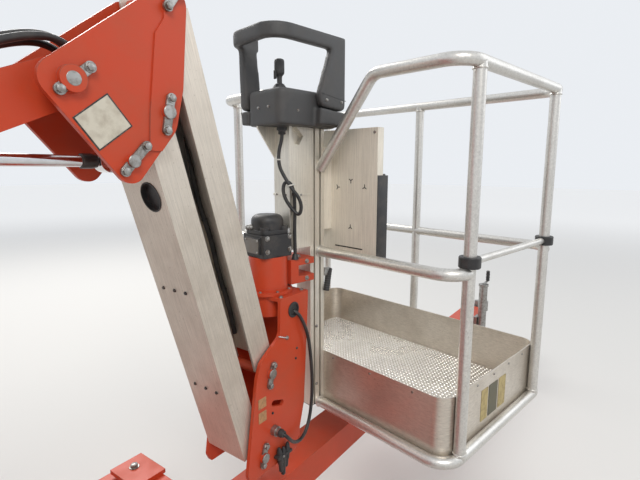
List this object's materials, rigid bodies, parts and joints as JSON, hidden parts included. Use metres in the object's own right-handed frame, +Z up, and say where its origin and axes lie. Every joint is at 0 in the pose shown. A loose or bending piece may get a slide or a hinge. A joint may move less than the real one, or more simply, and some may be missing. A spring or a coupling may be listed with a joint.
{
  "type": "towable boom lift",
  "caption": "Trailer-mounted articulated boom lift, folded over its drawbar, with a telescopic boom, a folding jib and a turning aluminium work platform.",
  "frame": {"origin": "on the ground, under the middle of the overall length and on the machine's centre line", "axes": "+X towards the tow hitch, +Y to the left, +Z up"},
  "size_m": [6.7, 1.675, 1.95],
  "materials": {
    "tyre": "matte",
    "rim": "satin",
    "orange_paint": "gloss",
    "grey_paint": "satin",
    "aluminium": "brushed",
    "dark_plastic": "matte",
    "orange_plastic": "gloss",
    "cylinder_paint": "satin",
    "chrome": "polished",
    "zinc": "satin",
    "cable": "satin",
    "lamp": "gloss"
  },
  "bodies": {
    "chassis": {"chassis_frame": "orange_paint", "drawbar": "orange_paint", "coupler": "zinc", "axle": "grey_paint", "fender_left": "dark_plastic", "fender_right": "dark_plastic", "jack_tube": "zinc", "tail_lamps": "lamp"},
    "wheel_left": {"tyre_left": "tyre", "rim_left": "rim"},
    "wheel_right": {"tyre_right": "tyre", "rim_right": "rim"},
    "tongue_jack": {"jack_foot": "zinc"},
    "turntable": {"turntable": "orange_paint", "battery_cover": "orange_plastic", "pump_cover": "orange_plastic"},
    "riser_lower": {"riser_link_lower": "orange_paint"},
    "riser_upper": {"riser_link_upper": "orange_paint"},
    "riser_upright": {"riser_upright": "orange_paint"},
    "riser_barrel": {"riser_cylinder_barrel": "cylinder_paint"},
    "riser_rod": {"riser_cylinder_rod": "chrome"},
    "main_boom": {"main_boom": "orange_paint"},
    "main_barrel": {"main_cylinder_barrel": "cylinder_paint"},
    "main_rod": {"main_cylinder_rod": "chrome"},
    "fly_boom": {"fly_boom": "orange_paint", "neck_hoses": "cable"},
    "knuckle": {"knuckle": "orange_paint"},
    "level_barrel": {"level_cylinder_barrel": "cylinder_paint"},
    "level_rod": {"level_cylinder_rod": "chrome"},
    "jib_lower": {"jib_arm_lower": "aluminium"},
    "jib_upper": {"jib_arm_upper": "aluminium", "jib_cables": "cable"},
    "jib_bracket": {"jib_bracket": "orange_paint", "rotator_base": "orange_paint", "bracket_plug": "dark_plastic", "bracket_cable": "cable"},
    "jib_barrel": {"jib_cylinder_barrel": "cylinder_paint"},
    "jib_rod": {"jib_cylinder_rod": "chrome"},
    "platform": {"rotator_head": "orange_paint", "rotator_motor": "dark_plastic", "mast": "aluminium", "control_box": "dark_plastic", "control_guard": "dark_plastic", "panel": "aluminium", "panel_case": "dark_plastic", "control_cable": "cable", "rail_lower": "aluminium", "rail_middle": "aluminium", "rail_upper": "aluminium", "rail_posts": "aluminium", "platform_floor": "aluminium"},
    "gate_bar": {"gate_bar": "aluminium"},
    "outrigger_front_left": {"outrigger_front_left": "orange_paint"},
    "leg_front_left": {"leg_front_left": "zinc"},
    "outrigger_front_right": {"outrigger_front_right": "orange_paint"},
    "leg_front_right": {"leg_front_right": "zinc"},
    "outrigger_rear_left": {"outrigger_rear_left": "orange_paint"},
    "leg_rear_left": {"leg_rear_left": "zinc"},
    "outrigger_rear_right": {"outrigger_rear_right": "orange_paint"},
    "leg_rear_right": {"leg_rear_right": "zinc"}
  },
  "joints": [
    {"name": "wheel_left_spin", "type": "hinge", "parent": "chassis", "child": "wheel_left", "pos_m": [-1.1, 0.735, 0.305], "axis": [0, 1, 0], "continuous": true},
    {"name": "wheel_right_spin", "type": "hinge", "parent": "chassis", "child": "wheel_right", "pos_m": [-1.1, -0.735, 0.305], "axis": [0, 1, 0], "continuous": true},
    {"name": "tongue_jack_raise", "type": "slide", "parent": "chassis", "child": "tongue_jack", "axis": [0, 0, 1], "range_m": [0, 0.19]},
    {"name": "outrigger_front_left_swing", "type": "hinge", "parent": "chassis", "child": "outrigger_front_left", "pos_m": [0.4, 0.4, 0.36], "axis": [0, 0, -1], "range_deg": [0, 135]},
    {"name": "leg_front_left_extend", "type": "slide", "parent": "outrigger_front_left", "child": "leg_front_left", "axis": [0, 0, -1], "range_m": [0, 0.25]},
    {"name": "outrigger_front_right_swing", "type": "hinge", "parent": "chassis", "child": "outrigger_front_right", "pos_m": [0.4, -0.4, 0.36], "axis": [0, 0, 1], "range_deg": [0, 135]},
    {"name": "leg_front_right_extend", "type": "slide", "parent": "outrigger_front_right", "child": "leg_front_right", "axis": [0, 0, -1], "range_m": [0, 0.25]},
    {"name": "outrigger_rear_left_swing", "type": "hinge", "parent": "chassis", "child": "outrigger_rear_left", "pos_m": [-2.4, 0.4, 0.36], "axis": [0, 0, 1], "range_deg": [0, 135]},
    {"name": "leg_rear_left_extend", "type": "slide", "parent": "outrigger_rear_left", "child": "leg_rear_left", "axis": [0, 0, -1], "range_m": [0, 0.25]},
    {"name": "outrigger_rear_right_swing", "type": "hinge", "parent": "chassis", "child": "outrigger_rear_right", "pos_m": [-2.4, -0.4, 0.36], "axis": [0, 0, -1], "range_deg": [0, 135]},
    {"name": "leg_rear_right_extend", "type": "slide", "parent": "outrigger_rear_right", "child": "leg_rear_right", "axis": [0, 0, -1], "range_m": [0, 0.25]},
    {"name": "turntable_slew", "type": "hinge", "parent": "chassis", "child": "turntable", "pos_m": [-1, 0, 0.52], "axis": [0, 0, 1], "range_deg": [-175, 175]},
    {"name": "riser_raise", "type": "hinge", "parent": "turntable", "child": "riser_lower", "pos_m": [-0.7, 0, 0.88], "axis": [0, 1, 0], "range_deg": [0, 55]},
    {"name": "riser_upper_raise", "type": "hinge", "parent": "turntable", "child": "riser_upper", "pos_m": [-0.68, 0, 1.11], "axis": [0, 1, 0], "range_deg": [0, 55]},
    {"name": "riser_upright_level", "type": "hinge", "parent": "riser_lower", "child": "riser_upright", "pos_m": [-2.85, 0, 0.88], "axis": [0, 1, 0], "range_deg": [-55, 0]},
    {"name": "riser_cylinder_swing", "type": "hinge", "parent": "turntable", "child": "riser_barrel", "pos_m": [-1.19, 0, 0.69], "axis": [0, 1, 0], "range_deg": [0, 69.07]},
    {"name": "riser_cylinder_stroke", "type": "slide", "parent": "riser_barrel", "child": "riser_rod", "axis": [-0.9908, 0, 0.1351], "range_m": [0, 0.4377]},
    {"name": "main_boom_raise", "type": "hinge", "parent": "riser_upright", "child": "main_boom", "pos_m": [-3.12, 0, 1.61], "axis": [0, -1, 0], "range_deg": [0, 65]},
    {"name": "main_cylinder_swing", "type": "hinge", "parent": "riser_upright", "child": "main_barrel", "pos_m": [-2.96, 0, 1.27], "axis": [0, -1, 0], "range_deg": [0, 57.85]},
    {"name": "main_cylinder_stroke", "type": "slide", "parent": "main_barrel", "child": "main_rod", "axis": [0.9665, 0, 0.2565], "range_m": [0, 0.3836]},
    {"name": "fly_boom_extend", "type": "slide", "parent": "main_boom", "child": "fly_boom", "axis": [1, 0, 0], "range_m": [0, 1.1]},
    {"name": "knuckle_level", "type": "hinge", "parent": "fly_boom", "child": "knuckle", "pos_m": [0.058, 0, 1.685], "axis": [0, -1, 0], "range_deg": [-65, 0]},
    {"name": "level_cylinder_swing", "type": "hinge", "parent": "fly_boom", "child": "level_barrel", "pos_m": [-0.74, 0, 1.53], "axis": [0, -1, 0], "range_deg": [-1.13, 0]},
    {"name": "level_cylinder_stroke", "type": "slide", "parent": "level_barrel", "child": "level_rod", "axis": [1, 0, 0], "range_m": [-0.2063, 0]},
    {"name": "jib_raise", "type": "hinge", "parent": "knuckle", "child": "jib_lower", "pos_m": [0.265, 0, 1.644], "axis": [0, -1, 0], "range_deg": [0, 110]},
    {"name": "jib_upper_raise", "type": "hinge", "parent": "knuckle", "child": "jib_upper", "pos_m": [0.305, 0, 1.918], "axis": [0, -1, 0], "range_deg": [0, 110]},
    {"name": "jib_bracket_level", "type": "hinge", "parent": "jib_lower", "child": "jib_bracket", "pos_m": [0.555, 0, 0.59], "axis": [0, -1, 0], "range_deg": [-110, 0]},
    {"name": "jib_cylinder_swing", "type": "hinge", "parent": "knuckle", "child": "jib_barrel", "pos_m": [0.305, 0, 1.918], "axis": [0, -1, 0], "range_deg": [0, 97.37]},
    {"name": "jib_cylinder_stroke", "type": "slide", "parent": "jib_barrel", "child": "jib_rod", "axis": [0.1487, 0, -0.9889], "range_m": [-0.4156, 0]},
    {"name": "platform_turn", "type": "hinge", "parent": "jib_bracket", "child": "platform", "pos_m": [0.7, 0, 1.12], "axis": [0, 0, 1], "range_deg": [-80, 100]},
    {"name": "gate_bar_lift", "type": "slide", "parent": "platform", "child": "gate_bar", "axis": [0, 0, 1], "range_m": [0, 0.5]}
  ],
  "couplings": [
    {"joint": "riser_upper_raise", "follows": "riser_raise", "ratio": 1},
    {"joint": "riser_upright_level", "follows": "riser_raise", "ratio": -1},
    {"joint": "riser_cylinder_swing", "follows": "riser_raise", "ratio": 1.2557},
    {"joint": "riser_cylinder_stroke", "follows": "riser_raise", "m_per_rad": 0.45587},
    {"joint": "main_cylinder_swing", "follows": "main_boom_raise", "ratio": 0.88979},
    {"joint": "main_cylinder_stroke", "follows": "main_boom_raise", "m_per_rad": 0.33804},
    {"joint": "knuckle_level", "follows": "main_boom_raise", "ratio": -1},
    {"joint": "level_cylinder_swing", "follows": "main_boom_raise", "ratio": -0.017266},
    {"joint": "level_cylinder_stroke", "follows": "main_boom_raise", "m_per_rad": -0.18173},
    {"joint": "jib_upper_raise", "follows": "jib_raise", "ratio": 1},
    {"joint": "jib_bracket_level", "follows": "jib_raise", "ratio": -1},
    {"joint": "jib_cylinder_swing", "follows": "jib_raise", "ratio": 0.8851},
    {"joint": "jib_cylinder_stroke", "follows": "jib_raise", "m_per_rad": -0.2164}
  ]
}
